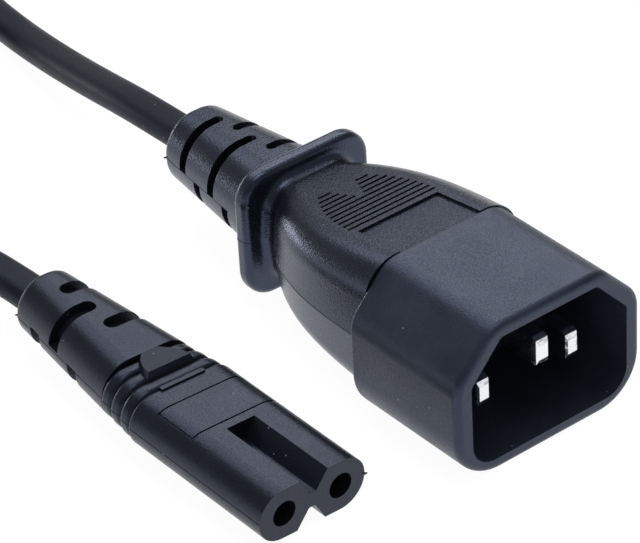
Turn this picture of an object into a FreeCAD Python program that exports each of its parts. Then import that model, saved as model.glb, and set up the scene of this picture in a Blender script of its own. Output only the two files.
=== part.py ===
"""Mains lead: a three-pin inline plug and a figure eight connector on one flat two-core cord.

Millimetres, +Z up. The origin is the middle of the plug shroud's flat underside, which stands
on the surface. +X is the plug's axis, out of its mouth, and +Y is across the blades.
"""
import FreeCAD
import Part

import math
import os
from collections import namedtuple

from FreeCAD import Placement, Rotation, Vector

# Plug shroud, the hood round the blades
SHROUD_LENGTH = 19.5
SHROUD_WIDTH = 28.9
SHROUD_HEIGHT = 20.6
SHROUD_CUT_ACROSS = 5.8
SHROUD_CUT_DOWN = 6.1
SHROUD_CUT_RADIUS = 4.0
SHROUD_BOTTOM_RADIUS = 6.5
SHROUD_SIDE_WALL = 2.25
SHROUD_TOP_WALL = 1.75
SHROUD_BOTTOM_WALL = 1.8
SHROUD_RIM_RADIUS = 1.0
SHROUD_REAR_RADIUS = 0.4
CAVITY_DEPTH = 16.4
CAVITY_CUT_ACROSS = 4.7
CAVITY_CUT_DOWN = 5.1
CAVITY_CUT_RADIUS = 0.9
CAVITY_BOTTOM_RADIUS = 3.4

# Blades
BLADE_SPACING = 14.0
BLADE_HEIGHT = 4.0
BLADE_WIDTH = 2.0
BLADE_TIP_CHAMFER = 1.0
BLADE_SIDE_CHAMFER = 0.3
BLADE_TIP_BULGE = 0.3
LINE_DROP = 1.8
EARTH_RISE = 2.2
LINE_RECESS = 3.9
EARTH_LEAD = 2.7
EARTH_TAIL = 3.2
ANCHOR_HOLE = 1.6

# Stiff insert that carries the blades
CARRIER_BOSS_WIDTH = 20.0
CARRIER_BOSS_HEIGHT = 11.0
CARRIER_PLATE_LIP = 1.5
CARRIER_PLATE_THICKNESS = 2.5
CARRIER_RADIUS = 2.0

# Crimp barrels, cores and conductors
BARREL_DIAMETER = 2.2
BARREL_LENGTH = 5.0
CORE_DIAMETER = 2.1
CONDUCTOR_DIAMETER = 1.1
CORE_STRIP = 4.0
CORE_PITCH = 2.2

# Flat cord
CORD_WIDTH = 5.4
CORD_THICKNESS = 3.4

# Plug body, flange and strain relief
BODY_LENGTH = 25.8
BODY_MOUTH_WIDTH = 25.2
BODY_NECK_WIDTH = 11.8
BODY_NECK_HEIGHT = 13.4
BODY_NECK_RADIUS = 3.7
BODY_MOUTH_RADIUS = 5.1
BODY_DRAFT = 0.095
BODY_FULLNESS = 3.3
BODY_STATIONS = 8
FLANGE_THICKNESS = 2.5
FLANGE_WIDTH = 20.1
FLANGE_HEIGHT = 18.1
FLANGE_RADIUS = 4.1
FLANGE_EDGE_RADIUS = 0.9
NECK_FILLET = 1.2
PLUG_SHEATH_INSIDE = 19.0

Relief = namedtuple("Relief", "length start_width start_height end_width end_height roundness "
                              "slot_width slot_pitch first_slot slots overshoot slot_shift first_side")
PLUG_RELIEF = Relief(length=21.0, start_width=15.6, start_height=12.4, end_width=10.5,
                     end_height=10.4, roundness=0.94, slot_width=1.5, slot_pitch=3.45,
                     first_slot=4.7, slots=4, overshoot=0.45, slot_shift=0.6, first_side=-1)
RELIEF_END_RADIUS = 0.9
SLOT_CORE_WALL = 1.2

# Rib panel and label recess on top of the plug body
RIB_COUNT = 10
RIB_PITCH = 1.05
RIB_WIDTH = 0.4
RIB_DEPTH = 0.35
RIB_PANEL_FRONT = 9.1
RIB_HALF_LENGTH = 6.9
RIB_PANEL_ROUNDING = 0.86
RIB_SPLIT_ROWS = 4
RIB_SPLIT_HALF = 1.95
LABEL_LENGTH = 8.0
LABEL_WIDTH = 12.6
LABEL_DEPTH = 0.35

# Figure eight connector: nose, grooves and holes
NOSE_WIDTH = 16.1
NOSE_HEIGHT = 7.1
NOSE_LENGTH = 24.2
NOSE_EDGE_RADIUS = 0.5
HOLE_SPACING = 8.6
HOLE_DIAMETER = 3.4
HOLE_DEPTH = 3.0
GROOVE_LENGTH = 13.1
GROOVE_HALF_WIDTH = 2.15
GROOVE_FLOOR_HALF = 0.45
GROOVE_WEB = 2.0
OUTLINE_FRONT = 14.3
OUTLINE_LENGTH = 6.5
OUTLINE_WIDTH = 12.6
OUTLINE_LINE = 0.25
OUTLINE_DEPTH = 0.15
BAR_FRONT = 23.55
BAR_LENGTH = 6.6
BAR_WIDTH = 0.6
BAR_RISE = 0.25

# Figure eight connector: grip rings, thumb tab and strain relief
RING_COUNT = 3
RING_PITCH = 2.15
RING_RADIUS = 0.75
RING_GROOVE_DEPTH = 0.75
RING_OVERLAP = 0.4
TAB_REAR_HALF = 1.1
TAB_FRONT_HALF = 3.2
TAB_LENGTH = 3.9
TAB_RISE = 0.45
TAB_SHIFT = 0.25
TAB_SIDE_BULGE = 0.25
TAB_DRAFT = 0.5
CONNECTOR_RELIEF = Relief(length=20.4, start_width=13.7, start_height=8.3, end_width=8.6,
                          end_height=8.5, roundness=0.97, slot_width=2.1, slot_pitch=4.35,
                          first_slot=4.7, slots=3, overshoot=0.9, slot_shift=0.0, first_side=1)
CONNECTOR_RELIEF_LIFT = 1.9
CONNECTOR_SHEATH_INSIDE = 16.0

# Contacts and their insert
SLEEVE_DIAMETER = 3.0
SLEEVE_BORE = 2.4
SLEEVE_LENGTH = 10.5
SLEEVE_SETBACK = 0.3
SLEEVE_SLIT = 0.4
SLEEVE_SLIT_LENGTH = 7.5
INSERT_LOBE_DIAMETER = 5.2
INSERT_WEB = 1.1
INSERT_LENGTH = 13.5

# Where the connector lies: the middle of its front face, and how it is turned
CONNECTOR_X = 3.2
CONNECTOR_Y = -31.15
CONNECTOR_YAW = 2.1
CONNECTOR_NOSE_DOWN = 2.6
CONNECTOR_ROLL = 4.3

# Route of the cord, and the coil that holds most of it
CORD_LEAD = 8.0
COIL_X = -162.0
COIL_Y = -17.0
COIL_OUTER_RADIUS = 35.0
COIL_TURNS = 3.5
COIL_LANE = 5.6
COIL_LAYER = 3.45
COIL_PLAY = 1.0
PLUG_ROUTE = [(-88.0, 2.2, 6.4), (-106.0, 5.0, 3.1), (-122.0, 7.3, 1.85), (-136.0, 11.0, 1.75),
              (-149.0, 16.0, 1.75), (-162.0, 18.0, 1.75)]
CONNECTOR_ROUTE = [(-75.0, -35.4, 4.6), (-93.0, -37.8, 2.3), (-111.0, -41.8, 1.75), (-128.0, -46.8, 2.7),
                   (-145.0, -51.3, 4.9), (-162.0, -52.0, 5.2)]

AXIS_Z = SHROUD_HEIGHT / 2
SHROUD_FRONT = SHROUD_LENGTH / 2
SHROUD_REAR = -SHROUD_LENGTH / 2
CAVITY_FLOOR = SHROUD_FRONT - CAVITY_DEPTH
FLANGE_FRONT = SHROUD_REAR - BODY_LENGTH
FLANGE_REAR = FLANGE_FRONT - FLANGE_THICKNESS
CARRIER_REAR = SHROUD_REAR - CARRIER_PLATE_THICKNESS
RING_FRONT = -NOSE_LENGTH
RELIEF_FRONT = RING_FRONT - RING_COUNT * RING_PITCH
SLEEVE_FRONT = -HOLE_DEPTH - SLEEVE_SETBACK
FAR = 60.0

X_AXIS = Vector(1, 0, 0)
Y_AXIS = Vector(0, 1, 0)
Z_AXIS = Vector(0, 0, 1)


def rounded_polygon(x, corners):
    """Closed wire in the plane at x through (y, z, radius) corners, each one rounded."""
    edges = []
    points = [Vector(x, y, z) for y, z, _ in corners]
    stretches = []
    for i, (_, _, radius) in enumerate(corners):
        corner = points[i]
        before = (points[i - 1] - corner).normalize()
        after = (points[(i + 1) % len(points)] - corner).normalize()
        if radius <= 0:
            stretches.append((corner, None, corner))
            continue
        half = math.acos(max(-1.0, min(1.0, before.dot(after)))) / 2
        leg = radius / math.tan(half)
        bisector = (before + after).normalize()
        middle = corner + bisector * (radius / math.sin(half) - radius)
        stretches.append((corner + before * leg, middle, corner + after * leg))
    for i, (start, middle, end) in enumerate(stretches):
        last_end = stretches[i - 1][2]
        if last_end.distanceToPoint(start) > 1e-6:
            edges.append(Part.LineSegment(last_end, start).toShape())
        if middle is not None:
            edges.append(Part.Arc(start, middle, end).toShape())
    return Part.Wire(edges)


def rounded_rectangle(x, width, height, radius):
    """Closed wire of a rectangle on the axis, with its four corners rounded."""
    y = width / 2
    z = height / 2
    return rounded_polygon(x, [(y, z, radius), (-y, z, radius), (-y, -z, radius), (y, -z, radius)])


def stadium(x, width, height):
    """Closed wire with flat top and bottom and fully round ends."""
    radius = height / 2
    y = width / 2 - radius
    corners = [Vector(x, side * y, up * radius) for side, up in ((1, 1), (-1, 1), (-1, -1), (1, -1))]
    return Part.Wire([
        Part.LineSegment(corners[0], corners[1]).toShape(),
        Part.Arc(corners[1], Vector(x, -y - radius, 0), corners[2]).toShape(),
        Part.LineSegment(corners[2], corners[3]).toShape(),
        Part.Arc(corners[3], Vector(x, y + radius, 0), corners[0]).toShape(),
    ])


def prism(wire, length):
    """Solid between the wire's plane and a plane that far behind it."""
    return Part.Face(wire).extrude(X_AXIS * -length)


def block(x_front, length, y_low, y_high, z_low, z_high):
    """Box that reaches back from x_front."""
    return Part.makeBox(length, y_high - y_low, z_high - z_low, Vector(x_front - length, y_low, z_low))


def rod(x_front, length, diameter, y=0.0, z=0.0):
    """Round bar along the axis that reaches back from x_front."""
    return Part.makeCylinder(diameter / 2, length, Vector(x_front, y, z), -X_AXIS)


def edges_at(shape, x, tolerance=1e-4):
    """Edges that lie whole in the plane at x."""
    return [e for e in shape.Edges
            if abs(e.BoundBox.XMin - x) < tolerance and abs(e.BoundBox.XMax - x) < tolerance]


def solid_of(shape):
    """The one solid of a shape, tidied."""
    tidy = shape.removeSplitter()
    return tidy.Solids[0] if len(tidy.Solids) == 1 else tidy


def largest(shape):
    """The largest solid of a shape: the stretch of cord that is left outside the coil."""
    return max(shape.Solids, key=lambda solid: solid.Volume)


def shroud_outline(x, inset_side=0.0, inset_top=0.0, inset_bottom=0.0, cut=None, radii=None):
    """Outline with its two top corners cut off, moved inward by the given walls."""
    cut_across, cut_down = cut or (SHROUD_CUT_ACROSS, SHROUD_CUT_DOWN)
    cut_radius, bottom_radius = radii or (SHROUD_CUT_RADIUS, SHROUD_BOTTOM_RADIUS)
    y = SHROUD_WIDTH / 2 - inset_side
    top = SHROUD_HEIGHT / 2 - inset_top
    bottom = -SHROUD_HEIGHT / 2 + inset_bottom
    right = [(y, bottom, bottom_radius), (y, top - cut_down, cut_radius), (y - cut_across, top, cut_radius)]
    left = [(-py, pz, radius) for py, pz, radius in reversed(right)]
    return rounded_polygon(x, right + left)


def make_shroud():
    """Hood round the blades, with the wall that the insert's boss comes through."""
    outer = prism(shroud_outline(SHROUD_FRONT), SHROUD_LENGTH)
    outer = outer.makeFillet(SHROUD_RIM_RADIUS, edges_at(outer, SHROUD_FRONT))
    outer = outer.makeFillet(SHROUD_REAR_RADIUS, edges_at(outer, SHROUD_REAR))
    cavity = prism(shroud_outline(SHROUD_FRONT, SHROUD_SIDE_WALL, SHROUD_TOP_WALL, SHROUD_BOTTOM_WALL,
                                  (CAVITY_CUT_ACROSS, CAVITY_CUT_DOWN),
                                  (CAVITY_CUT_RADIUS, CAVITY_BOTTOM_RADIUS)),
                   CAVITY_DEPTH)
    return outer.cut(cavity).cut(carrier_boss())


def carrier_boss():
    """Front of the insert, flush with the cavity's floor."""
    return prism(rounded_rectangle(CAVITY_FLOOR, CARRIER_BOSS_WIDTH, CARRIER_BOSS_HEIGHT, CARRIER_RADIUS),
                 CAVITY_FLOOR - SHROUD_REAR)


def make_carrier(pins):
    """Stiff insert: a boss through the shroud's wall and a plate behind it, round the blades."""
    plate = prism(rounded_rectangle(SHROUD_REAR, CARRIER_BOSS_WIDTH + 2 * CARRIER_PLATE_LIP,
                                    CARRIER_BOSS_HEIGHT + 2 * CARRIER_PLATE_LIP, CARRIER_RADIUS),
                  CARRIER_PLATE_THICKNESS)
    carrier = carrier_boss().fuse(plate)
    for pin in pins:
        carrier = carrier.cut(pin)
    return solid_of(carrier)


def make_blade(tip, y, z, rear):
    """Blade whose tip narrows on all four sides, in two steps so that it looks rounded."""
    half_w = BLADE_WIDTH / 2
    half_h = BLADE_HEIGHT / 2
    shoulder = tip - BLADE_TIP_CHAMFER
    shank = block(shoulder, shoulder - rear, y - half_w, y + half_w, z - half_h, z + half_h)
    wires = []
    for along, inward in ((0.0, 0.0), (1 - BLADE_TIP_BULGE, BLADE_TIP_BULGE), (1.0, 1.0)):
        x = shoulder + BLADE_TIP_CHAMFER * along
        w = half_w - BLADE_SIDE_CHAMFER * inward
        h = half_h - BLADE_TIP_CHAMFER * inward
        corners = [Vector(x, y + sy * w, z + sz * h) for sy, sz in ((1, 1), (-1, 1), (-1, -1), (1, -1))]
        wires.append(Part.makePolygon(corners + corners[:1]))
    return shank.fuse(Part.makeLoft(wires, True, True)).removeSplitter()


def make_wired_pin(side):
    """Line or neutral blade, with the crimp barrel that its conductor goes into."""
    y = side * BLADE_SPACING / 2
    blade = make_blade(SHROUD_FRONT - LINE_RECESS, y, -LINE_DROP, CARRIER_REAR)
    barrel = rod(CARRIER_REAR, BARREL_LENGTH, BARREL_DIAMETER, y, -LINE_DROP)
    bore = rod(CARRIER_REAR - BARREL_LENGTH + CORE_STRIP, CORE_STRIP, CONDUCTOR_DIAMETER, y, -LINE_DROP)
    return solid_of(blade.fuse(barrel).cut(bore))


def make_earth_pin():
    """Earth blade, which carries no wire: its tail is anchored by a hole in the moulding."""
    tail = CARRIER_REAR - EARTH_TAIL
    blade = make_blade(SHROUD_FRONT - LINE_RECESS + EARTH_LEAD, 0.0, EARTH_RISE, tail)
    hole = Part.makeCylinder(ANCHOR_HOLE / 2, BLADE_WIDTH,
                             Vector(tail + EARTH_TAIL / 2, -BLADE_WIDTH / 2, EARTH_RISE), Y_AXIS)
    return solid_of(blade.cut(hole))


def rounded_path(points):
    """Straight runs joined by tangent arcs as large as the two runs beside them allow."""
    edges = []
    radii = []
    last = points[0]
    for before, corner, after in zip(points, points[1:], points[2:]):
        back = before - corner
        ahead = after - corner
        leg = 0.45 * min(back.Length, ahead.Length)
        half = math.acos(max(-1.0, min(1.0, back.dot(ahead) / (back.Length * ahead.Length)))) / 2
        radius = leg * math.tan(half)
        back.normalize()
        ahead.normalize()
        start = corner + back * leg
        end = corner + ahead * leg
        middle = corner + (back + ahead).normalize() * (radius / math.sin(half) - radius)
        edges.append(Part.LineSegment(last, start).toShape())
        edges.append(Part.Arc(start, middle, end).toShape())
        radii.append(radius)
        last = end
    edges.append(Part.LineSegment(last, points[-1]).toShape())
    return Part.Wire(edges), radii


def sweep(profile, path, up=None):
    """Solid of a section along a path, kept level where up is given."""
    pipe = Part.BRepOffsetAPI.MakePipeShell(path)
    if up is not None:
        pipe.setBiNormalMode(up)
    pipe.add(profile, False, True)
    pipe.build()
    pipe.makeSolid()
    return pipe.shape()


def core_points(sheath_at, contact, side):
    """Route of one core, from the sheath's end out to its contact."""
    start = sheath_at.multVec(Vector(0, side * CORE_PITCH / 2, 0))
    run = contact.x - start.x
    leaving = sheath_at.multVec(Vector(run * 0.3, side * CORE_PITCH / 2, 0))
    return [start, leaving, contact - X_AXIS * (run * 0.25), contact]


def make_wire(sheath_at, contact, side):
    """One core's insulation and its conductor, whose bare end goes on into the barrel."""
    points = core_points(sheath_at, contact, side)
    path, _ = rounded_path(points)
    ahead = points[1] - points[0]
    outer = sweep(Part.Wire(Part.makeCircle(CORE_DIAMETER / 2, points[0], ahead)), path)
    inner = sweep(Part.Wire(Part.makeCircle(CONDUCTOR_DIAMETER / 2, points[0], ahead)), path)
    bare = rod(contact.x + CORE_STRIP, CORE_STRIP, CONDUCTOR_DIAMETER, contact.y, contact.z)
    return outer.cut(inner), solid_of(inner.fuse(bare))


def relief_section(relief, distance):
    """Outline of a strain relief at a distance behind its front."""
    share = distance / relief.length
    width = relief.start_width + (relief.end_width - relief.start_width) * share
    height = relief.start_height + (relief.end_height - relief.start_height) * share
    return rounded_rectangle(-distance, width, height, relief.roundness * min(width, height) / 2)


def quadrant_slot(relief, middle, side, up):
    """Flat slot over one quarter of the relief, with a round inner end."""
    half = relief.slot_width / 2
    inner = relief.slot_shift * up - side * (relief.overshoot - half)
    low, high = sorted((inner, side * FAR))
    z_low, z_high = sorted((0.0, up * FAR))
    flat = block(middle + half, relief.slot_width, low, high, z_low, z_high)
    end = Part.makeCylinder(half, FAR, Vector(middle, inner, z_low), Z_AXIS)
    return flat.fuse(end)


def make_relief(relief):
    """Tapered sleeve, slotted on one side and the other in turn, with its front at x = 0."""
    sleeve = Part.makeLoft([relief_section(relief, 0.0), relief_section(relief, relief.length)], True, True)
    sleeve = sleeve.makeFillet(RELIEF_END_RADIUS, edges_at(sleeve, -relief.length))
    core = prism(rounded_rectangle(0.0, CORD_WIDTH + 2 * SLOT_CORE_WALL, CORD_THICKNESS + 2 * SLOT_CORE_WALL,
                                   CORD_THICKNESS / 2 + SLOT_CORE_WALL * 0.9), relief.length)
    for i in range(relief.slots):
        middle = relief.first_slot + i * relief.slot_pitch - relief.length
        side = relief.first_side * (-1) ** i
        for up in (1, -1):
            sleeve = sleeve.cut(quadrant_slot(relief, middle, side * up, up).cut(core))
    return sleeve


def body_height(x):
    """Height of the plug body, which grows in a straight line from its neck to the shroud."""
    share = (x - FLANGE_FRONT) / BODY_LENGTH
    return BODY_NECK_HEIGHT + (SHROUD_HEIGHT - BODY_NECK_HEIGHT) * share


def body_section(share):
    """Outline of the plug body at a share of its length from the flange."""
    x = FLANGE_FRONT + BODY_LENGTH * share
    width = BODY_NECK_WIDTH + (BODY_MOUTH_WIDTH - BODY_NECK_WIDTH) * (1 - (1 - share) ** BODY_FULLNESS)
    radius = BODY_NECK_RADIUS + (BODY_MOUTH_RADIUS - BODY_NECK_RADIUS) * share
    top = body_height(x) / 2
    wide = width / 2
    narrow = wide - BODY_DRAFT * top
    return rounded_polygon(x, [(narrow, top, radius), (-narrow, top, radius), (-wide, 0.0, 1.5),
                               (-narrow, -top, radius), (narrow, -top, radius), (wide, 0.0, 1.5)])


def make_body():
    """Waisted body: a loft through stations that crowd where the shoulder curves most."""
    shares = [(i / (BODY_STATIONS - 1)) ** 1.5 for i in range(BODY_STATIONS)]
    return Part.makeLoft([body_section(share) for share in shares], True, False)


def make_flange():
    """Rounded plate between the body and the strain relief."""
    plate = prism(rounded_rectangle(FLANGE_FRONT, FLANGE_WIDTH, FLANGE_HEIGHT, FLANGE_RADIUS),
                  FLANGE_THICKNESS)
    return plate.makeFillet(FLANGE_EDGE_RADIUS, edges_at(plate, FLANGE_FRONT) + edges_at(plate, FLANGE_REAR))


def rib_grooves():
    """Rows of the rib panel: they lengthen towards the shroud, and the first ones are split."""
    grooves = []
    for row in range(RIB_COUNT):
        x = SHROUD_REAR - RIB_PANEL_FRONT - (RIB_COUNT - 1 - row) * RIB_PITCH
        reach = RIB_PANEL_ROUNDING * (1 - (row + 0.5) / RIB_COUNT)
        half = RIB_HALF_LENGTH * math.sqrt(1 - reach ** 2)
        floor = body_height(x) / 2 - RIB_DEPTH
        gap = 0.0
        if row < RIB_SPLIT_ROWS:
            gap = RIB_SPLIT_HALF * (1 - row / (RIB_SPLIT_ROWS + 0.5))
        stretches = [(-half, -gap), (gap, half)] if gap else [(-half, half)]
        for low, high in stretches:
            grooves.append(block(x + RIB_WIDTH / 2, RIB_WIDTH, low, high, floor, floor + RIB_DEPTH * 3))
    return Part.makeCompound(grooves)


def label_recess():
    """Shallow recess on top of the body, against the shroud, that follows the body's slope."""
    rear = SHROUD_REAR - LABEL_LENGTH
    low = body_height(rear) / 2 - LABEL_DEPTH
    high = body_height(SHROUD_REAR) / 2 - LABEL_DEPTH
    corners = [Vector(rear, -LABEL_WIDTH / 2, low), Vector(SHROUD_REAR, -LABEL_WIDTH / 2, high),
               Vector(SHROUD_REAR, -LABEL_WIDTH / 2, FAR), Vector(rear, -LABEL_WIDTH / 2, FAR)]
    return Part.Face(Part.makePolygon(corners + corners[:1])).extrude(Y_AXIS * LABEL_WIDTH)


def make_plug_overmould(inside):
    """Soft moulding of the plug, cut by all that it is moulded round."""
    body = make_body().fuse(make_flange())
    neck = [e for e in edges_at(body, FLANGE_FRONT, 0.01)
            if max(abs(e.BoundBox.YMin), abs(e.BoundBox.YMax)) < BODY_NECK_WIDTH / 2 + 0.01]
    body = body.makeFillet(NECK_FILLET, neck)
    relief = placed(make_relief(PLUG_RELIEF), plug_relief_placement())
    shape = body.fuse(relief).cut(rib_grooves()).cut(label_recess())
    for piece in inside:
        shape = shape.cut(piece)
    return solid_of(shape)


def groove_tool(up):
    """V-shaped groove with a narrow floor, in the top or the bottom of the nose."""
    floor = GROOVE_WEB / 2
    surface = NOSE_HEIGHT / 2
    slope = (GROOVE_HALF_WIDTH - GROOVE_FLOOR_HALF) / (surface - floor)
    top = surface + 1.0
    wide = GROOVE_HALF_WIDTH + slope
    corners = [(-wide, up * top, 0.0), (-GROOVE_FLOOR_HALF, up * floor, GROOVE_FLOOR_HALF),
               (GROOVE_FLOOR_HALF, up * floor, GROOVE_FLOOR_HALF), (wide, up * top, 0.0)]
    return prism(rounded_polygon(0.0, corners), GROOVE_LENGTH)


def make_nose():
    """Straight front of the connector, with its grooves and its fine label outline."""
    nose = prism(stadium(0.0, NOSE_WIDTH, NOSE_HEIGHT), NOSE_LENGTH)
    nose = nose.makeFillet(NOSE_EDGE_RADIUS, edges_at(nose, -NOSE_LENGTH))
    for up in (1, -1):
        nose = nose.cut(groove_tool(up))
    core = prism(stadium(0.0, NOSE_WIDTH - 2 * OUTLINE_DEPTH, NOSE_HEIGHT - 2 * OUTLINE_DEPTH), NOSE_LENGTH)
    half = OUTLINE_WIDTH / 2
    inside = half - OUTLINE_LINE
    line = block(-OUTLINE_FRONT, OUTLINE_LENGTH, -half, half, 0.0, FAR).cut(
        block(-OUTLINE_FRONT - OUTLINE_LINE, OUTLINE_LENGTH - 2 * OUTLINE_LINE, -inside, inside, 0.0, FAR))
    bar = block(-BAR_FRONT, BAR_WIDTH, -BAR_LENGTH / 2, BAR_LENGTH / 2,
                NOSE_HEIGHT / 2 - BAR_RISE, NOSE_HEIGHT / 2 + BAR_RISE)
    return nose.cut(line.cut(core)).fuse(bar)


def grip_rings():
    """Rounded rings that step from the nose's outline to the strain relief's."""
    relief = CONNECTOR_RELIEF
    rings = []
    for i in range(RING_COUNT):
        share = (i + 1) / (RING_COUNT + 1)
        width = NOSE_WIDTH + (relief.start_width - NOSE_WIDTH) * share
        ring = prism(stadium(RING_FRONT - i * RING_PITCH, width, NOSE_HEIGHT), RING_PITCH)
        ends = edges_at(ring, RING_FRONT - i * RING_PITCH) + edges_at(ring, RING_FRONT - (i + 1) * RING_PITCH)
        ring = ring.makeFillet(RING_RADIUS, ends)
        core = prism(stadium(RING_FRONT - i * RING_PITCH, width - 2 * RING_GROOVE_DEPTH,
                             NOSE_HEIGHT - 2 * RING_GROOVE_DEPTH), RING_PITCH + RING_OVERLAP)
        rings.append(ring.fuse(core))
    return rings


def tab_outline(front_z, rear_z, spread):
    """Plan of the thumb tab, flared to its front, at a height that may rise to the front."""
    rear = TAB_REAR_HALF + spread
    front = TAB_FRONT_HALF + spread
    length = TAB_LENGTH + spread
    middle_y = (rear + front) / 2 + (front - rear) * TAB_SIDE_BULGE
    middle_z = (rear_z + front_z) / 2
    return Part.Wire([
        Part.makeLine(Vector(0, -rear, rear_z), Vector(0, rear, rear_z)),
        Part.Arc(Vector(0, rear, rear_z), Vector(length / 2, middle_y, middle_z),
                 Vector(length, front, front_z)).toShape(),
        Part.makeLine(Vector(length, front, front_z), Vector(length, -front, front_z)),
        Part.Arc(Vector(length, -front, front_z), Vector(length / 2, -middle_y, middle_z),
                 Vector(0, -rear, rear_z)).toShape(),
    ])


def thumb_tab():
    """Flared tab that carries the relief's top on over the rings, rising to a steep front wall."""
    top = CONNECTOR_RELIEF.start_height / 2
    tab = Part.makeLoft([tab_outline(0.0, 0.0, TAB_DRAFT * top), tab_outline(top + TAB_RISE, top, 0.0)],
                        True, True)
    tab.translate(Y_AXIS * TAB_SHIFT)
    return tab


def make_connector_overmould(inside):
    """Moulding of the connector, cut by all that it is moulded round."""
    relief = make_relief(CONNECTOR_RELIEF).fuse(thumb_tab())
    shape = make_nose()
    for ring in grip_rings():
        shape = shape.fuse(ring)
    shape = shape.fuse(placed(relief, connector_relief_placement()))
    for side in (1, -1):
        y = side * HOLE_SPACING / 2
        shape = shape.cut(rod(0.0, HOLE_DEPTH, HOLE_DIAMETER, y))
        shape = shape.cut(rod(-HOLE_DEPTH, SLEEVE_SETBACK + SLEEVE_LENGTH, SLEEVE_DIAMETER, y))
    for piece in inside:
        shape = shape.cut(piece)
    return solid_of(shape)


def make_insert():
    """Two lobes and a web: the insert that holds both sleeves at their spacing."""
    insert = block(-HOLE_DEPTH, INSERT_LENGTH, -HOLE_SPACING / 2, HOLE_SPACING / 2,
                   -INSERT_WEB / 2, INSERT_WEB / 2)
    for side in (1, -1):
        y = side * HOLE_SPACING / 2
        insert = insert.fuse(rod(-HOLE_DEPTH, INSERT_LENGTH, INSERT_LOBE_DIAMETER, y))
    for side in (1, -1):
        y = side * HOLE_SPACING / 2
        insert = insert.cut(rod(-HOLE_DEPTH, INSERT_LENGTH, SLEEVE_DIAMETER, y))
    return solid_of(insert)


def make_sleeve(side):
    """Sprung sleeve contact, slit from its mouth, with a crimp barrel behind it."""
    y = side * HOLE_SPACING / 2
    rear = SLEEVE_FRONT - SLEEVE_LENGTH
    sleeve = rod(SLEEVE_FRONT, SLEEVE_LENGTH, SLEEVE_DIAMETER, y)
    barrel = rod(rear, BARREL_LENGTH, BARREL_DIAMETER, y)
    bore = rod(SLEEVE_FRONT, SLEEVE_LENGTH - 1.0, SLEEVE_BORE, y)
    slit = block(SLEEVE_FRONT, SLEEVE_SLIT_LENGTH, y - SLEEVE_SLIT / 2, y + SLEEVE_SLIT / 2,
                 0.0, SLEEVE_DIAMETER)
    wire_bore = rod(rear - BARREL_LENGTH + CORE_STRIP, CORE_STRIP, CONDUCTOR_DIAMETER, y)
    return solid_of(sleeve.fuse(barrel).cut(bore).cut(slit).cut(wire_bore))


def plug_placement():
    """Lifts the plug's own frame to the axis height."""
    return Placement(Vector(0, 0, AXIS_Z), Rotation())


def connector_placement():
    """Lays the connector down beside the plug, on its nose and its lower lobe."""
    turn = (Rotation(Z_AXIS, CONNECTOR_YAW) * Rotation(Y_AXIS, CONNECTOR_NOSE_DOWN)
            * Rotation(X_AXIS, -CONNECTOR_ROLL))
    lobe = NOSE_WIDTH / 2 - NOSE_HEIGHT / 2
    height = (NOSE_HEIGHT / 2 + lobe * math.sin(math.radians(CONNECTOR_ROLL))
              * math.cos(math.radians(CONNECTOR_NOSE_DOWN)))
    return Placement(Vector(CONNECTOR_X, CONNECTOR_Y, height), turn)


def plug_relief_placement():
    """Front of the plug's relief, in the plug's own frame."""
    return Placement(Vector(FLANGE_REAR, 0, 0), Rotation())


def connector_relief_placement():
    """Front of the connector's relief, in the connector's own frame: the soft relief bends up."""
    return Placement(Vector(RELIEF_FRONT, 0, 0), Rotation(Y_AXIS, CONNECTOR_RELIEF_LIFT))


def behind(placement, distance):
    """Placement moved back along its own axis."""
    return placement * Placement(Vector(-distance, 0, 0), Rotation())


def placed(shape, placement):
    """Copy of a shape, moved from its own frame to where it lies."""
    copy = shape.copy()
    copy.transformShape(placement.toMatrix(), True)
    return copy


def cord_run(name, sheath_at, first, route):
    """Level tube of the flat cord, from the sheath's end inside a relief to the coil."""
    start = sheath_at.Base
    points = [start, behind(sheath_at, first).Base] + [Vector(*point) for point in route]
    path, radii = rounded_path(points)
    ahead = (points[1] - start).normalize()
    across = Z_AXIS.cross(ahead).normalize()
    up = ahead.cross(across)
    section = stadium(0.0, CORD_WIDTH, CORD_THICKNESS)
    area = Part.Face(section).Area
    section.transformShape(FreeCAD.Matrix(ahead.x, across.x, up.x, start.x, ahead.y, across.y, up.y, start.y,
                                          ahead.z, across.z, up.z, start.z, 0, 0, 0, 1), False)
    tube = sweep(section, path, Z_AXIS)
    print(f"{name}: radii {[round(r, 1) for r in radii]}, length {path.Length:.1f}, "
          f"volume {tube.Volume:.0f} against {area * path.Length:.0f}")
    return tube


def make_coil():
    """Outer shape of the coiled length: lanes beside each other, in two layers."""
    reach = CORD_WIDTH / 2 + COIL_PLAY
    outer = COIL_OUTER_RADIUS + reach
    inner = COIL_OUTER_RADIUS - COIL_LANE * COIL_TURNS / 2 - reach
    height = COIL_LAYER + CORD_THICKNESS + COIL_PLAY / 4
    centre = Vector(COIL_X, COIL_Y, 0)
    ring = Part.makeCylinder(outer, height, centre).cut(Part.makeCylinder(inner, height, centre))
    return ring.makeFillet(CORD_THICKNESS / 3, ring.Edges)


def make_wires(prefix, sheath_at, contact_x, y, z, cord):
    """Both cores and both conductors of one end, by node name, up to the cord's own end."""
    wires = {}
    for colour, side in (("brown", -1), ("blue", 1)):
        core, strands = make_wire(sheath_at, Vector(contact_x, side * y, z), side)
        wires[f"{prefix}_core_{colour}"] = solid_of(core.cut(cord))
        wires[f"{prefix}_strands_{colour}"] = solid_of(strands.cut(cord))
    return wires


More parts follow.
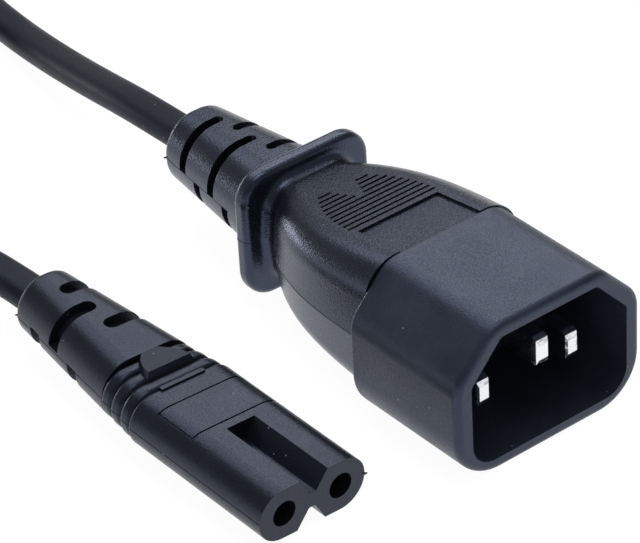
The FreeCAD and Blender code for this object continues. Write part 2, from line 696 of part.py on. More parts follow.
def build_plug(cord):
    """Nodes of the plug in its own frame, round a cord given in the same frame."""
    pins = {"pin_line": make_wired_pin(-1), "pin_neutral": make_wired_pin(1), "pin_earth": make_earth_pin()}
    carrier = make_carrier(pins.values())
    sheath_at = behind(plug_relief_placement(), PLUG_RELIEF.length - PLUG_SHEATH_INSIDE)
    wires = make_wires("plug", sheath_at, CARRIER_REAR - BARREL_LENGTH, BLADE_SPACING / 2, -LINE_DROP,
                       cord)
    overmould = make_plug_overmould([carrier, *pins.values(), *wires.values(), cord])
    return {"plug_overmould": overmould, "plug_shroud": make_shroud(), "pin_carrier": carrier,
            **pins, **wires}


def build_connector(cord):
    """Nodes of the connector in its own frame, round a cord given in the same frame."""
    sleeves = {"contact_line": make_sleeve(-1), "contact_neutral": make_sleeve(1)}
    insert = make_insert()
    sheath_at = behind(connector_relief_placement(), CONNECTOR_RELIEF.length - CONNECTOR_SHEATH_INSIDE)
    crimp = SLEEVE_FRONT - SLEEVE_LENGTH - BARREL_LENGTH
    wires = make_wires("connector", sheath_at, crimp, HOLE_SPACING / 2, 0.0, cord)
    overmould = make_connector_overmould([insert, *sleeves.values(), *wires.values(), cord])
    return {"connector_overmould": overmould, "contact_carrier": insert, **sleeves, **wires}


def build():
    """All nodes of the lead, by name."""
    plug_at = plug_placement()
    connector_at = connector_placement()
    plug_sheath = behind(plug_relief_placement(), PLUG_RELIEF.length - PLUG_SHEATH_INSIDE)
    connector_sheath = behind(connector_relief_placement(),
                              CONNECTOR_RELIEF.length - CONNECTOR_SHEATH_INSIDE)
    coil = make_coil()
    plug_run = cord_run("cord_run_plug", plug_at * plug_sheath, PLUG_SHEATH_INSIDE + CORD_LEAD, PLUG_ROUTE)
    connector_run = cord_run("cord_run_connector", connector_at * connector_sheath,
                             CONNECTOR_SHEATH_INSIDE + CORD_LEAD, CONNECTOR_ROUTE)
    plug_run = largest(plug_run.cut(coil))
    connector_run = largest(connector_run.cut(coil))
    nodes = {}
    for place, pieces in ((plug_at, build_plug(placed(plug_run, plug_at.inverse()))),
                          (connector_at, build_connector(placed(connector_run, connector_at.inverse())))):
        for name, shape in pieces.items():
            nodes[name] = placed(shape, place)
    nodes["cord_run_plug"] = plug_run
    nodes["cord_run_connector"] = connector_run
    nodes["cord_coil"] = coil
    return nodes


os.makedirs("parts", exist_ok=True)
for node, solid in build().items():
    print(f"{node}: {len(solid.Solids)} solid, valid {solid.isValid()}, volume {solid.Volume:.1f}")
    solid.exportStep(f"parts/{node}.step")
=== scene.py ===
"""Looks of a mains lead: an inline plug and a figure eight connector on one flat cord.

Metres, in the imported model's frame: the origin is under the middle of the plug's shroud, +X is
the plug's axis out of its mouth, +Y is across the blades and +Z is up. The moulded ends keep the
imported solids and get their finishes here. The cord is drawn as one flat sheath from end to end,
and the flash that the mould leaves along each parting line is added.
"""

import logging
import math
from dataclasses import dataclass
from enum import Enum

import bmesh
import bpy
from mathutils import Matrix, Vector

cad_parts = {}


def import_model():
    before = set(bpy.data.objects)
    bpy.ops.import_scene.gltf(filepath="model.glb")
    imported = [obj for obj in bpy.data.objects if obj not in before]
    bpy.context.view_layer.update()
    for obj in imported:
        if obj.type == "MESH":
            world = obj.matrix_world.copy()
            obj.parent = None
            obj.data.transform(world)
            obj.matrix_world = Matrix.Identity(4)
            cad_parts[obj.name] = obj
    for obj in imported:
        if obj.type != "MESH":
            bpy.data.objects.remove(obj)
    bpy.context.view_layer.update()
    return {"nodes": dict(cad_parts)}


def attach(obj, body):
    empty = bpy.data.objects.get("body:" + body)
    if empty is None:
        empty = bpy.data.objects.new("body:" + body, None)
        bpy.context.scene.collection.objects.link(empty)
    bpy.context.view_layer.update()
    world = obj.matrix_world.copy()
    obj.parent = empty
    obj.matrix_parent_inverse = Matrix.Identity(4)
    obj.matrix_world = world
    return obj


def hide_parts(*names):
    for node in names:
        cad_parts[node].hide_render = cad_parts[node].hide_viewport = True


MM = 0.001
BODY = "root"
LOG = logging.getLogger("mains_lead")


def linear(colour: str) -> tuple[float, float, float, float]:
    """Turns an sRGB hex colour into linear light.

    Args:
        colour: six hex digits, red first.

    Returns:
        Red, green, blue and an alpha of one.
    """
    channels = [int(colour[i:i + 2], 16) / 255 for i in (0, 2, 4)]
    light = [c / 12.92 if c <= 0.04045 else ((c + 0.055) / 1.055) ** 2.4 for c in channels]
    return light[0], light[1], light[2], 1.0


def add(tree: bpy.types.NodeTree, kind: str, settings: dict | None = None,
        links: dict | None = None) -> bpy.types.Node:
    """Adds a node to a tree.

    Args:
        tree: the material's or the world's node tree.
        kind: the node's type name.
        settings: values by socket name, socket index or attribute name.
        links: sockets that feed this node, by socket name or index.

    Returns:
        The new node.
    """
    node = tree.nodes.new(kind)
    for name, value in (settings or {}).items():
        if isinstance(name, int) or name in node.inputs:
            node.inputs[name].default_value = value
        else:
            setattr(node, name, value)
    for name, socket in (links or {}).items():
        tree.links.new(socket, node.inputs[name])
    return node


def new_material(name: str) -> bpy.types.Material:
    """Makes an empty node material.

    Args:
        name: the finish's name.

    Returns:
        The material, with no nodes in its tree.
    """
    material = bpy.data.materials.new(name)
    material.use_nodes = True
    material.node_tree.nodes.clear()
    return material


def dress(piece: bpy.types.Object, material: bpy.types.Material) -> None:
    """Gives a piece one material all over.

    Args:
        piece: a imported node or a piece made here.
        material: its finish.
    """
    piece.data.materials.clear()
    piece.data.materials.append(material)


class MouldGrain(Enum):
    """Width in mm of the pits that a mould's wall leaves, drawn twice as coarse so that they show."""

    SPARK_ERODED = 0.26
    SATIN = 0.24


@dataclass(frozen=True)
class MouldedPlastic:
    """Plastic coloured all through. Where it is black, only its sheen, grain and dust show.

    Attributes:
        name: the finish's name.
        colour: the plastic's own colour; a blue lean in the black ones is painted cool light.
        rubbed: its colour where it has been handled.
        grain: texture of its wall.
        depth: how deep the grain's pits are, in mm.
        roughness: its middle roughness.
        spread: a quarter of the way from its glossiest spots to its dullest.
        specular: strength of its sheen.
        tint: colour of its sheen, seen straight on; a bluish tint is painted cool light.
        smudge: width of the handled patches.
        dust_gap: distance between two crumbs of dust.
        dust_radius: radius of a crumb, drawn larger than real dust so that it shows.
        dust_colour: colour of a crumb.
        pit_weight: how much more the pits change the gloss than the smudges do.
        glossy_at: mix of pits and smudges at which the surface is glossiest.
        dull_at: mix at which it is dullest.
    """

    name: str
    colour: str
    rubbed: str
    grain: MouldGrain
    depth: float
    roughness: float
    spread: float
    specular: float
    tint: str = "ffffff"
    smudge: float = 9 * MM
    dust_gap: float = 3 * MM
    dust_radius: float = 0.105 * MM
    dust_colour: str = "787c84"
    pit_weight: float = 1.6
    glossy_at: float = 0.9
    dull_at: float = 1.7

    def build(self) -> bpy.types.Material:
        """Builds the material: pits from the mould, wide smudges in the sheen, and grey dust.

        Returns:
            The material.
        """
        material = new_material(self.name)
        tree = material.node_tree
        place = add(tree, "ShaderNodeTexCoord").outputs["Object"]
        pits = add(tree, "ShaderNodeTexNoise",
                   {"Scale": 1 / (self.grain.value * MM), "Detail": 2.0, "Roughness": 0.6},
                   {"Vector": place})
        smudges = add(tree, "ShaderNodeTexNoise",
                      {"Scale": 1 / self.smudge, "Detail": 3.0, "Roughness": 0.55}, {"Vector": place})
        worn = add(tree, "ShaderNodeMix",
                   {"data_type": "RGBA", 6: linear(self.colour), 7: linear(self.rubbed)},
                   {0: smudges.outputs["Fac"]})
        crumbs = add(tree, "ShaderNodeTexVoronoi", {"Scale": 1 / self.dust_gap}, {"Vector": place})
        specks = add(tree, "ShaderNodeMath",
                     {"operation": "LESS_THAN", 1: self.dust_radius / self.dust_gap},
                     {0: crumbs.outputs["Distance"]})
        base = add(tree, "ShaderNodeMix", {"data_type": "RGBA", 7: linear(self.dust_colour)},
                   {0: specks.outputs[0], 6: worn.outputs[2]})
        both = add(tree, "ShaderNodeMath", {"operation": "MULTIPLY_ADD", 1: self.pit_weight},
                   {0: pits.outputs["Fac"], 2: smudges.outputs["Fac"]})
        gloss = add(tree, "ShaderNodeMapRange",
                    {"From Min": self.glossy_at, "From Max": self.dull_at,
                     "To Min": self.roughness - 2 * self.spread,
                     "To Max": self.roughness + 2 * self.spread},
                    {"Value": both.outputs[0]})
        bump = add(tree, "ShaderNodeBump", {"Strength": 1.0, "Distance": self.depth * MM},
                   {"Height": pits.outputs["Fac"]})
        shader = add(tree, "ShaderNodeBsdfPrincipled",
                     {"IOR": 1.5, "Specular IOR Level": self.specular,
                      "Specular Tint": linear(self.tint)},
                     {"Base Color": base.outputs[2], "Roughness": gloss.outputs[0],
                      "Normal": bump.outputs["Normal"]})
        add(tree, "ShaderNodeOutputMaterial", {}, {"Surface": shader.outputs[0]})
        return material


@dataclass(frozen=True)
class PlatedBlade:
    """Stamped brass under bright nickel: a mirror, rippled where the die has squeezed it.

    Attributes:
        name: the finish's name.
        colour: the nickel's colour.
        roughness: its middle roughness.
        smoothest: the glossiest spots' roughness, as a share of the middle one.
        roughest: the dullest spots' roughness, as a share of the middle one.
        ripple: width of the die's ripples.
        ripple_depth: how deep they are.
        line: length and width of the fine lines along the blade.
        line_depth: how deep they are.
    """

    name: str = "bright_nickel_plate"
    colour: str = "eef0f4"
    roughness: float = 0.15
    smoothest: float = 0.5
    roughest: float = 1.8
    ripple: float = 0.9 * MM
    ripple_depth: float = 0.05 * MM
    line: tuple[float, float] = (6 * MM, 0.25 * MM)
    line_depth: float = 0.01 * MM

    def build(self) -> bpy.types.Material:
        """Builds the material, with die ripples and fine lines along the blade's length.

        Returns:
            The material.
        """
        material = new_material(self.name)
        tree = material.node_tree
        place = add(tree, "ShaderNodeTexCoord").outputs["Object"]
        length, width = self.line
        along = add(tree, "ShaderNodeMapping", {"Scale": (1 / length, 1 / width, 1 / width)},
                    {"Vector": place})
        lines = add(tree, "ShaderNodeTexNoise", {"Scale": 1.0, "Detail": 2.0},
                    {"Vector": along.outputs[0]})
        ripples = add(tree, "ShaderNodeTexNoise", {"Scale": 1 / self.ripple, "Detail": 1.0},
                      {"Vector": place})
        gloss = add(tree, "ShaderNodeMapRange",
                    {"To Min": self.roughness * self.smoothest,
                     "To Max": self.roughness * self.roughest},
                    {"Value": lines.outputs["Fac"]})
        rippled = add(tree, "ShaderNodeBump", {"Strength": 1.0, "Distance": self.ripple_depth},
                      {"Height": ripples.outputs["Fac"]})
        bump = add(tree, "ShaderNodeBump", {"Strength": 0.5, "Distance": self.line_depth},
                   {"Height": lines.outputs["Fac"], "Normal": rippled.outputs["Normal"]})
        shader = add(tree, "ShaderNodeBsdfPrincipled",
                     {"Base Color": linear(self.colour), "Metallic": 1.0},
                     {"Roughness": gloss.outputs[0], "Normal": bump.outputs["Normal"]})
        add(tree, "ShaderNodeOutputMaterial", {}, {"Surface": shader.outputs[0]})
        return material


@dataclass(frozen=True)
class HiddenMetal:
    """Metal inside the mouldings: sprung brass, or copper drawn into strands.

    Attributes:
        name: the finish's name.
        colour: the clean metal's colour.
        tarnish: its colour where it has dulled.
        roughness: its roughness.
        cloud: width of the tarnished clouds.
    """

    name: str
    colour: str
    tarnish: str
    roughness: float
    cloud: float = 1.5 * MM

    def build(self) -> bpy.types.Material:
        """Builds the material, a metal with a cloudy tarnish.

        Returns:
            The material.
        """
        material = new_material(self.name)
        tree = material.node_tree
        place = add(tree, "ShaderNodeTexCoord").outputs["Object"]
        clouds = add(tree, "ShaderNodeTexNoise", {"Scale": 1 / self.cloud, "Detail": 3.0},
                     {"Vector": place})
        base = add(tree, "ShaderNodeMix",
                   {"data_type": "RGBA", 6: linear(self.colour), 7: linear(self.tarnish)},
                   {0: clouds.outputs["Fac"]})
        shader = add(tree, "ShaderNodeBsdfPrincipled", {"Metallic": 1.0, "Roughness": self.roughness},
                     {"Base Color": base.outputs[2]})
        add(tree, "ShaderNodeOutputMaterial", {}, {"Surface": shader.outputs[0]})
        return material


def seen_white(tree: bpy.types.NodeTree,
               rays: bpy.types.bpy_prop_collection) -> bpy.types.NodeSocket:
    """Marks the rays that see a white backdrop: the camera's, and those off gloss or through glass.

    Args:
        tree: the tree that the test goes into.
        rays: the outputs of its Light Path node.

    Returns:
        A socket that is one for those rays and zero for the rest.
    """
    both = add(tree, "ShaderNodeMath", {"operation": "MAXIMUM"},
               {0: rays["Is Camera Ray"], 1: rays["Is Glossy Ray"]})
    every = add(tree, "ShaderNodeMath", {"operation": "MAXIMUM"},
                {0: both.outputs[0], 1: rays["Is Transmission Ray"]})
    return every.outputs[0]


@dataclass(frozen=True)
class WhiteGround:
    """White paper ground: the camera and reflections see it white, and it keeps a faint shadow.

    Attributes:
        name: the finish's name.
        colour: the paper's colour.
        kept_shadow: share of the paper's own shading that those rays see.
        glow: light that is added to that share, where one is white.
    """

    name: str = "white_ground"
    colour: str = "f2f2f2"
    kept_shadow: float = 0.12
    glow: float = 0.95

    def build(self) -> bpy.types.Material:
        """Builds the material from plain paper and a lifted copy for the rays that see white.

        Returns:
            The material.
        """
        material = new_material(self.name)
        tree = material.node_tree
        rays = add(tree, "ShaderNodeLightPath").outputs
        paper = add(tree, "ShaderNodeBsdfDiffuse", {"Color": linear(self.colour)})
        share = tuple(self.kept_shadow * c for c in linear(self.colour)[:3]) + (1.0,)
        shade = add(tree, "ShaderNodeBsdfDiffuse", {"Color": share})
        light = add(tree, "ShaderNodeEmission", {"Color": linear("ffffff"), "Strength": self.glow})
        lifted = add(tree, "ShaderNodeAddShader", {}, {0: shade.outputs[0], 1: light.outputs[0]})
        mix = add(tree, "ShaderNodeMixShader", {},
                  {0: seen_white(tree, rays), 1: paper.outputs[0], 2: lifted.outputs[0]})
        add(tree, "ShaderNodeOutputMaterial", {}, {"Surface": mix.outputs[0]})
        return material


@dataclass(frozen=True)
class Camera:
    """The photograph's viewpoint, solved from the blades and the shroud's rim.

    Attributes:
        position: where it stands.
        yaw: direction in which it looks, in degrees from +X towards +Y.
        pitch_down: how far it looks down, in degrees.
        roll: its turn about its own axis, in degrees.
        lens: focal length in mm.
        sensor: width of the sensor in mm.
        nearest: nearest distance that it sees.
        farthest: farthest distance that it sees.
    """

    position: tuple[float, float, float] = (0.26752, -0.22759, 0.26260)
    yaw: float = 142.96
    pitch_down: float = 34.56
    roll: float = -3.39
    lens: float = 203.39
    sensor: float = 36.0
    nearest: float = 0.01
    farthest: float = 20.0

    def build(self) -> None:
        """Makes the camera and hands it to the scene."""
        data = bpy.data.cameras.new("camera")
        data.lens = self.lens
        data.sensor_width = self.sensor
        data.clip_start = self.nearest
        data.clip_end = self.farthest
        camera = bpy.data.objects.new("camera", data)
        bpy.context.scene.collection.objects.link(camera)
        turn = (Matrix.Rotation(math.radians(self.yaw - 90), 4, "Z")
                @ Matrix.Rotation(math.radians(90 - self.pitch_down), 4, "X")
                @ Matrix.Rotation(math.radians(self.roll), 4, "Z"))
        camera.matrix_world = Matrix.Translation(self.position) @ turn
        bpy.context.scene.camera = camera


@dataclass(frozen=True)
class Softbox:
    """An oblong soft lamp that points at one spot.

    Attributes:
        name: the lamp's name.
        place: where it stands or hangs.
        aim: the spot that it points at.
        size: its two sides.
        watts: its power.
    """

    name: str
    place: tuple[float, float, float]
    aim: tuple[float, float, float]
    size: tuple[float, float]
    watts: float

    def build(self) -> None:
        """Makes the lamp."""
        data = bpy.data.lights.new(self.name, "AREA")
        data.shape = "RECTANGLE"
        data.size, data.size_y = self.size
        data.energy = self.watts
        lamp = bpy.data.objects.new(self.name, data)
        bpy.context.scene.collection.objects.link(lamp)
        lamp.location = self.place
        lamp.rotation_mode = "QUATERNION"
        lamp.rotation_quaternion = (Vector(self.aim) - Vector(self.place)).to_track_quat("-Z", "Y")


@dataclass(frozen=True)
class Studio:
    """A white sweep under soft lamps, as for a catalogue picture.

    Attributes:
        ground_half: half the ground's side.
        ground_cells: faces along a side of it.
        ambient: strength of the even light from all round.
        white_up_to: sine of the angle above the ground up to which the sweep is white.
        dim_from: sine of the angle from which it is at its dimmest.
        dim: how bright it is from there up, where one is white.
        softboxes: the lamps.
    """

    ground_half: float = 3.0
    ground_cells: int = 8
    ambient: float = 0.50
    white_up_to: float = 0.0
    dim_from: float = 0.15
    dim: float = 0.23
    softboxes: tuple[Softbox, ...] = (
        Softbox("back_softbox", (-0.31, 0.34, 0.377), (-0.02, -0.01, 0.0), (0.30, 0.24), 0.66),
        Softbox("side_softbox", (-0.43, 0.07, 0.50), (-0.01, -0.01, 0.01), (0.30, 0.26), 0.62),
        Softbox("overhead_softbox", (0.02, 0.05, 0.75), (-0.02, -0.01, 0.0), (0.45, 0.45), 1.7),
        Softbox("low_rear_panel", (-0.60, -0.11, 0.022), (-0.02, -0.01, 0.015), (0.34, 0.044), 0.44),
    )

    def build_ground(self) -> None:
        """Makes the ground, a flat sheet of paper under the lead."""
        bpy.ops.mesh.primitive_grid_add(x_subdivisions=self.ground_cells,
                                        y_subdivisions=self.ground_cells, size=2 * self.ground_half)
        ground = bpy.context.object
        ground.name = "ground"
        dress(ground, WhiteGround().build())

    def build_world(self) -> None:
        """Lights the scene evenly, and shows a sweep that is white at the ground and dims above it."""
        world = bpy.data.worlds.new("white_tent")
        bpy.context.scene.world = world
        world.use_nodes = True
        tree = world.node_tree
        tree.nodes.clear()
        rays = add(tree, "ShaderNodeLightPath").outputs
        way = add(tree, "ShaderNodeTexCoord").outputs["Generated"]
        height = add(tree, "ShaderNodeSeparateXYZ", {}, {0: way}).outputs["Z"]
        sweep = add(tree, "ShaderNodeMapRange",
                    {"interpolation_type": "SMOOTHSTEP", "From Min": self.white_up_to,
                     "From Max": self.dim_from, "To Min": 1.0, "To Max": self.dim},
                    {"Value": height})
        tent = add(tree, "ShaderNodeBackground", {"Color": linear("ffffff"), "Strength": self.ambient})
        white = add(tree, "ShaderNodeBackground", {"Color": linear("ffffff")},
                    {"Strength": sweep.outputs[0]})
        mix = add(tree, "ShaderNodeMixShader", {},
                  {0: seen_white(tree, rays), 1: tent.outputs[0], 2: white.outputs[0]})
        add(tree, "ShaderNodeOutputWorld", {}, {"Surface": mix.outputs[0]})

    def build(self) -> None:
        """Builds ground, world and lamps, and sets the plain view transform."""
        self.build_ground()
        self.build_world()
        for softbox in self.softboxes:
            softbox.build()
        bpy.context.scene.view_settings.view_transform = "Standard"


# Painted cool light: a bluish tint on the sheen of the black plastics, which are neutral black
# The blue lean of their colours below paints the same cool light
PAINTED_COOL_LIGHT = "bcd0ff"

# Soft PVC from a spark-eroded mould: black, with sharp highlights that the pits break into speckles
PLUG_PVC = MouldedPlastic("glossy_pvc_moulding", "0f1013", "16171b", MouldGrain.SPARK_ERODED,
                          depth=0.038, roughness=0.26, spread=0.025, specular=0.95, tint=PAINTED_COOL_LIGHT)

# The same PVC from a duller mould: softer and weaker highlights with the same speckle
CONNECTOR_PVC = MouldedPlastic("dull_pvc_moulding", "0f1115", "16181d", MouldGrain.SPARK_ERODED,
                               depth=0.033, roughness=0.33, spread=0.03, specular=0.5, tint=PAINTED_COOL_LIGHT)

# Hard nylon from a satin mould: a slate grey bloom on the faces that look up, and no sharp highlight
HOOD = MouldedPlastic("satin_nylon_hood", "0f1219", "2c313c", MouldGrain.SATIN, depth=0.04,
                      roughness=0.40, spread=0.06, specular=0.72, tint=PAINTED_COOL_LIGHT)

# Soft PVC drawn through a die, which leaves it almost smooth: a long, faint highlight along the cord
SHEATH = MouldedPlastic("extruded_pvc_sheath", "0d0f15", "161922", MouldGrain.SATIN, depth=0.02,
                        roughness=0.46, spread=0.05, specular=0.26, tint=PAINTED_COOL_LIGHT)

# Stiff moulded plastic that holds the metal: dull and plain, deep in the mouths
INSERT = MouldedPlastic("stiff_insert_plastic", "16171d", "1b1c23", MouldGrain.SATIN, depth=0.01,
                        roughness=0.5, spread=0.04, specular=0.35)

# Extruded insulation of the two cores, hidden in the mouldings: plain brown and plain blue
BROWN = MouldedPlastic("brown_core_insulation", "5a3320", "63402b", MouldGrain.SATIN, depth=0.01,
                       roughness=0.45, spread=0.04, specular=0.5)
BLUE = MouldedPlastic("blue_core_insulation", "24539c", "2f5fa6", MouldGrain.SATIN, depth=0.01,
                      roughness=0.45, spread=0.04, specular=0.5)

# Rolled spring brass, yellow with brown clouds, and drawn copper, red with brown clouds
BRASS = HiddenMetal("sprung_brass", "d8b56a", "a8843f", roughness=0.3)
COPPER = HiddenMetal("drawn_copper_strand", "d98a5e", "a65f3a", roughness=0.35)

# Bright nickel on stamped brass: it mirrors the dark hood and the white ground in wavy streaks
NICKEL = PlatedBlade()


@dataclass
class FlatCord:
    """The two-core flat cord: one sheath from inside the plug, round the coil, into the connector.

    Attributes:
        width: the sheath's width.
        thickness: its thickness.
        end_steps: straight runs in each round end of its section.
        plug_run: route from inside the plug to the coil.
        connector_run: route from the coil into the connector.
        coil_centre: middle of the coil, seen from above.
        coil_radius: radius of its outermost turn.
        coil_turns: how many turns its two layers have together.
        lane: distance between the turns of a layer.
        low: height of the lower layer.
        high: height of the upper layer.
        climb_from: turn at which the cord starts to climb.
        climb_to: turn at which it has reached the upper layer.
        steps_per_turn: points of the route in a turn.
    """

    width: float = 5.4 * MM
    thickness: float = 3.4 * MM
    end_steps: int = 8
    plug_run: tuple[tuple[float, float, float], ...] = (
        (-0.04005, 0.0, 0.0103), (-0.06705, 0.0, 0.0103), (-0.088, 0.0022, 0.0064),
        (-0.106, 0.0050, 0.0031), (-0.122, 0.0073, 0.00185), (-0.136, 0.0110, 0.00175),
        (-0.149, 0.0160, 0.00175),
    )
    connector_run: tuple[tuple[float, float, float], ...] = (
        (-0.145, -0.0513, 0.0049), (-0.128, -0.0468, 0.0027), (-0.111, -0.0418, 0.00175),
        (-0.093, -0.0378, 0.0023), (-0.075, -0.0354, 0.0046), (-0.055694, -0.033239, 0.007503),
        (-0.031782, -0.032422, 0.005622),
    )
    coil_centre: tuple[float, float] = (-0.162, -0.017)
    coil_radius: float = 35 * MM
    coil_turns: float = 3.5
    lane: float = 5.6 * MM
    low: float = 1.75 * MM
    high: float = 5.2 * MM
    climb_from: float = 1.55
    climb_to: float = 1.95
    steps_per_turn: int = 24

    def coil_height(self, turn: float) -> float:
        """Works out how high the cord lies: the lower layer, a short climb, then the upper one.

        Args:
            turn: how many turns the cord has made.

        Returns:
            The height of its middle.
        """
        share = min(1.0, max(0.0, (turn - self.climb_from) / (self.climb_to - self.climb_from)))
        smooth = share * share * (3 - 2 * share)
        return self.low + (self.high - self.low) * smooth

    def coil(self) -> list[tuple[float, float, float]]:
        """Works out the coil's turns: inwards in the lower layer, outwards again in the upper one.

        Returns:
            The points of the turns, in order.
        """
        points = []
        count = round(self.coil_turns * self.steps_per_turn)
        for i in range(count + 1):
            turn = i / self.steps_per_turn
            inward = min(turn, self.coil_turns - turn)
            radius = self.coil_radius - self.lane * inward
            angle = math.pi / 2 + 2 * math.pi * turn
            points.append((self.coil_centre[0] + radius * math.cos(angle),
                           self.coil_centre[1] + radius * math.sin(angle), self.coil_height(turn)))
        return points

    def section(self) -> bpy.types.Object:
        """Draws the sheath's section, a flat oblong with round ends.

        Returns:
            A closed curve that isn't shown.
        """
        data = bpy.data.curves.new("sheath_section", "CURVE")
        data.dimensions = "2D"
        data.fill_mode = "NONE"
        spline = data.splines.new("POLY")
        radius = self.thickness / 2
        reach = self.width / 2 - radius
        outline = []
        for side in (1, -1):
            for step in range(self.end_steps + 1):
                angle = math.pi * (0.5 - step / self.end_steps)
                outline.append((side * (reach + radius * math.cos(angle)),
                                side * radius * math.sin(angle)))
        spline.points.add(len(outline) - 1)
        for point, (x, y) in zip(spline.points, outline):
            point.co = (x, y, 0.0, 1.0)
        spline.use_cyclic_u = True
        section = bpy.data.objects.new("sheath_section", data)
        bpy.context.scene.collection.objects.link(section)
        section.hide_render = True
        section.hide_viewport = True
        return section

    def build(self) -> None:
        route = [*self.plug_run, *self.coil(), *self.connector_run]
        data = bpy.data.curves.new("flat_cord", "CURVE")
        data.dimensions = "3D"
        data.twist_mode = "Z_UP"
        data.bevel_mode = "OBJECT"
        data.bevel_object = self.section()
        data.use_fill_caps = True
        data.resolution_u = 6
        spline = data.splines.new("NURBS")
        spline.points.add(len(route) - 1)
        for point, place in zip(spline.points, route):
            point.co = (*place, 1.0)
        spline.order_u = 3
        spline.use_endpoint_u = True
        cord = bpy.data.objects.new("flat_cord", data)
        bpy.context.scene.collection.objects.link(cord)
        dress(cord, SHEATH.build())
        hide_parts("cord_run_plug", "cord_coil", "cord_run_connector")
        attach(cord, BODY)
        LOG.info("made %s: %d points", cord.name, len(route))


@dataclass(frozen=True)
class PartingFlash:
    """The fine fin that the mould leaves round a moulding, where its two halves met.

    Attributes:
        moulding: name of the moulding.
        name: name of the fin.
        middle: a point of the plane between the mould's halves.
        up: that plane's normal.
        ahead: the way that the moulding points.
        front: how far ahead of the middle the fin ends.
        scraps: a place near each torn scrap of flash, and the way that it stands out.
        proud: how far the fin stands out.
        weld: gap at which two corners of the moulding count as one.
        snap: distance from the plane at which a corner counts as on it.
        stretch: length along the moulding in which the widest corner is looked for.
        skin: how far inside the widest corner the outer wall may lie.
        scrap_root: radius of a scrap at its foot.
        scrap_tip: radius at its end.
        scrap_length: its length.
        scrap_sides: how many sides it has.
        scrap_wear: how far its corners are moved at random.
        scrap_seed: seed of those moves.
    """

    moulding: str
    name: str
    middle: Vector
    up: Vector
    ahead: Vector
    front: float
    scraps: tuple[tuple[Vector, Vector], ...]
    proud: float = 0.055 * MM
    weld: float = 0.001 * MM
    snap: float = 0.0001 * MM
    stretch: float = 0.5 * MM
    skin: float = 0.6 * MM
    scrap_root: float = 0.24 * MM
    scrap_tip: float = 0.08 * MM
    scrap_length: float = 0.6 * MM
    scrap_sides: int = 5
    scrap_wear: float = 0.06 * MM
    scrap_seed: int = 5

    def cut(self, moulding: bpy.types.Object) -> bpy.types.Object:
        """Cuts a copy of the moulding at the parting plane.

        Args:
            moulding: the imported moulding, which is left as it is.

        Returns:
            The lines of the cut, which run along walls and hollows alike.
        """
        line = bpy.data.objects.new(self.name, moulding.data.copy())
        bpy.context.scene.collection.objects.link(line)
        bpy.ops.object.select_all(action="DESELECT")
        line.select_set(True)
        bpy.context.view_layer.objects.active = line
        bpy.ops.object.mode_set(mode="EDIT")
        bpy.ops.mesh.select_all(action="SELECT")
        bpy.ops.mesh.remove_doubles(threshold=self.weld)
        bpy.ops.mesh.bisect(plane_co=self.middle, plane_no=self.up, clear_inner=True, clear_outer=True,
                            threshold=self.snap)
        bpy.ops.object.mode_set(mode="OBJECT")
        return line

    def keep_outer(self, line: bpy.types.Object) -> None:
        """Deletes what lies inside the moulding or ahead of its visible part.

        Args:
            line: the lines of the cut.
        """
        across = self.up.cross(self.ahead)
        places = [((v.co - self.middle).dot(self.ahead), (v.co - self.middle).dot(across))
                  for v in line.data.vertices]
        # How far out the moulding reaches on either side, in each stretch and its two neighbours
        widest: dict[tuple[int, bool], float] = {}
        for along, side in places:
            for step in (-1, 0, 1):
                key = (round(along / self.stretch) + step, side > 0)
                widest[key] = max(widest.get(key, 0.0), abs(side))
        bpy.ops.object.mode_set(mode="EDIT")
        bpy.ops.mesh.select_mode(type="VERT")
        bpy.ops.mesh.select_all(action="DESELECT")
        shape = bmesh.from_edit_mesh(line.data)
        for vertex, (along, side) in zip(shape.verts, places):
            edge = widest[(round(along / self.stretch), side > 0)]
            vertex.select = along > self.front or abs(side) < edge - self.skin
        shape.select_flush_mode()
        bmesh.update_edit_mesh(line.data)
        bpy.ops.mesh.delete(type="VERT")
        bpy.ops.object.mode_set(mode="OBJECT")

    def add_scraps(self, line: bpy.types.Object) -> None:
        """Adds the torn scraps of flash that stand out at some ends.

        Args:
            line: the finished fin, which the scraps join.
        """
        made = []
        for near, out in self.scraps:
            place = min((v.co for v in line.data.vertices), key=lambda co: (co - near).length)
            bpy.ops.mesh.primitive_cone_add(vertices=self.scrap_sides, radius1=self.scrap_root,
                                            radius2=self.scrap_tip, depth=self.scrap_length,
                                            location=place,
                                            rotation=out.to_track_quat("Z", "Y").to_euler())
            scrap = bpy.context.object
            bpy.ops.object.mode_set(mode="EDIT")
            bpy.ops.mesh.select_all(action="SELECT")
            bpy.ops.mesh.subdivide(number_cuts=1)
            bpy.ops.transform.vertex_random(offset=self.scrap_wear, seed=self.scrap_seed)
            bpy.ops.object.mode_set(mode="OBJECT")
            bpy.ops.object.transform_apply(location=True, rotation=True, scale=True)
            made.append(scrap)
        bpy.ops.object.select_all(action="DESELECT")
        for piece in (*made, line):
            piece.select_set(True)
        bpy.context.view_layer.objects.active = line
        bpy.ops.object.join()

    def build(self, moulding: bpy.types.Object) -> None:
        """Makes the fin from the cut's outer lines, in the moulding's own finish.

        Args:
            moulding: the dressed moulding.
        """
        line = self.cut(moulding)
        self.keep_outer(line)
        bpy.ops.object.convert(target="CURVE")
        line = bpy.context.object
        line.data.bevel_depth = self.proud
        line.data.bevel_resolution = 0
        line.data.use_fill_caps = True
        bpy.ops.object.convert(target="MESH")
        line = bpy.context.object
        self.add_scraps(line)
        dress(line, moulding.data.materials[0])
        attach(line, BODY)
        LOG.info("made %s: %d faces", line.name, len(line.data.polygons))


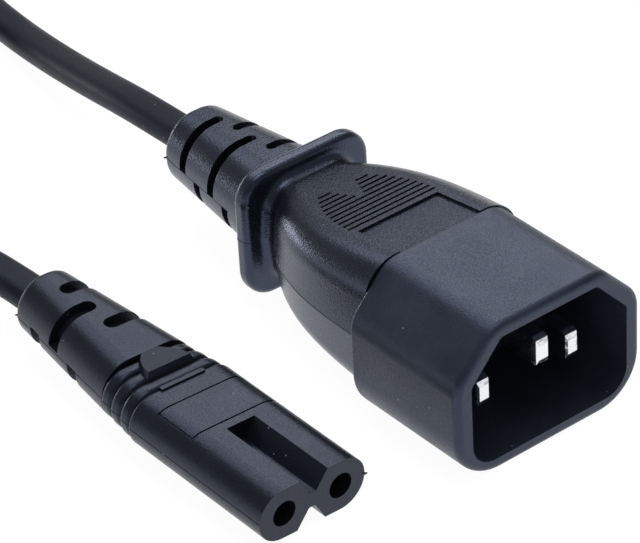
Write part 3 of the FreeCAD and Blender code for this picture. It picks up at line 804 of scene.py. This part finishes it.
PLUG_FLASH = PartingFlash(
    "plug_overmould", "plug_flash", middle=Vector((0.0, 0.0, 0.010313)), up=Vector((0.0, 0.0, 1.0)),
    ahead=Vector((1.0, 0.0, 0.0)), front=-0.0105,
    scraps=((Vector((-0.05905, -0.006, 0.0103)), Vector((-0.6, -0.8, 0.0))),))

# The connector lies askew on the ground, so its plane and its axis are tilted
CONNECTOR_FLASH = PartingFlash(
    "connector_overmould", "connector_flash", middle=Vector((0.0032, -0.03115, 0.0039)),
    up=Vector((0.04246, 0.07659, 0.99616)), ahead=Vector((0.99830, 0.03661, -0.04536)), front=0.001,
    scraps=((Vector((-0.0477, -0.0375, 0.0072)), Vector((-0.7, -0.7, 0.1))),
            (Vector((0.0029, -0.0231, 0.0033)), Vector((0.5, 0.85, 0.1)))))


@dataclass
class Mouldings:
    """Both moulded ends with what they hold, dressed as packed.

    Attributes:
        nodes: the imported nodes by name.
    """

    nodes: dict[str, bpy.types.Object]

    def build(self) -> None:
        """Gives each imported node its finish, and each moulding its flash."""
        finishes = {
            PLUG_PVC: ("plug_overmould",),
            CONNECTOR_PVC: ("connector_overmould",),
            HOOD: ("plug_shroud",),
            NICKEL: ("pin_line", "pin_neutral", "pin_earth"),
            INSERT: ("pin_carrier", "contact_carrier"),
            BROWN: ("plug_core_brown", "connector_core_brown"),
            BLUE: ("plug_core_blue", "connector_core_blue"),
            BRASS: ("contact_line", "contact_neutral"),
            COPPER: ("plug_strands_brown", "plug_strands_blue", "connector_strands_brown",
                     "connector_strands_blue"),
        }
        for finish, names in finishes.items():
            material = finish.build()
            for name in names:
                dress(self.nodes[name], material)
                LOG.info("dressed %s in %s", name, finish.name)
        for flash in (PLUG_FLASH, CONNECTOR_FLASH):
            flash.build(self.nodes[flash.moulding])


def main() -> None:
    """Builds the scene in order: camera, cord, mouldings, then the studio."""
    logging.basicConfig(level=logging.INFO, format="%(message)s")
    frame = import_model()
    bpy.ops.object.select_all(action="DESELECT")
    Camera().build()
    FlatCord().build()
    Mouldings(frame["nodes"]).build()
    Studio().build()


if __name__ == "__main__":
    main()
